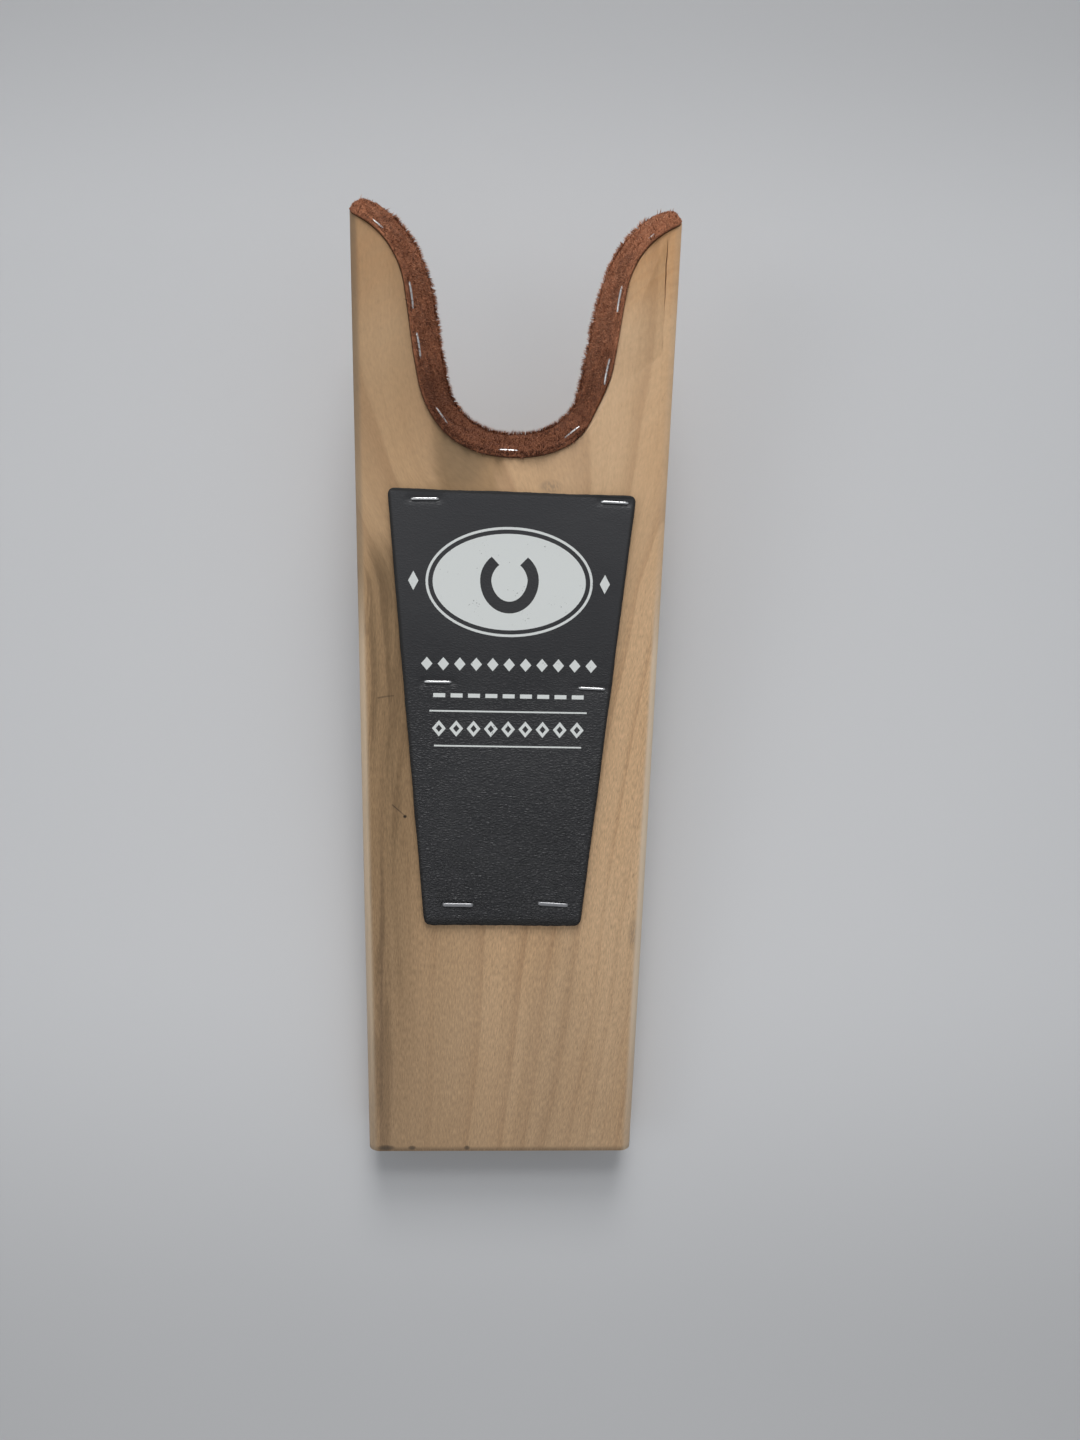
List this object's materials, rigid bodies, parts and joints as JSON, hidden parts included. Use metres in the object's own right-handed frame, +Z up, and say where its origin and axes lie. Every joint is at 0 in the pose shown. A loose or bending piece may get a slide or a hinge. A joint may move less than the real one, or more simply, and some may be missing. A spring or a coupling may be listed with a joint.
{
  "type": "boot jack",
  "caption": "Wooden boot jack: a tapered board raised on a cleat, with a suede-lined heel notch and a stapled leather foot pad to stand on.",
  "frame": {"origin": "on the floor, at the middle of the whole object's length and width, with the jack leaning on its cleat as in use", "axes": "+X to the right as the user stands on the pad facing the notch, +Y from the heel end of the board towards the horns, +Z up"},
  "size_m": [0.1016, 0.3064, 0.0614],
  "materials": {
    "hardwood": "sanded bare pale hardwood with fine straight grain",
    "pad_leather": "smooth charcoal top grain leather with a fine pebble, cut edge",
    "suede": "napped rust brown suede",
    "staple_wire": "bright galvanised staple wire",
    "screw_zinc": "zinc plated wood screw"
  },
  "bodies": {
    "root": {"board": "hardwood", "cleat": "hardwood", "cleat_screw_left": "screw_zinc", "cleat_screw_right": "screw_zinc", "foot_pad": "pad_leather", "notch_lining": "suede", "pad_staple_top_left": "staple_wire", "pad_staple_top_right": "staple_wire", "pad_staple_middle_left": "staple_wire", "pad_staple_middle_right": "staple_wire", "pad_staple_bottom_left": "staple_wire", "pad_staple_bottom_right": "staple_wire", "lining_staple_1": "staple_wire", "lining_staple_2": "staple_wire", "lining_staple_3": "staple_wire", "lining_staple_4": "staple_wire", "lining_staple_5": "staple_wire", "lining_staple_6": "staple_wire", "lining_staple_7": "staple_wire", "lining_staple_8": "staple_wire", "lining_staple_9": "staple_wire"}
  },
  "joints": []
}
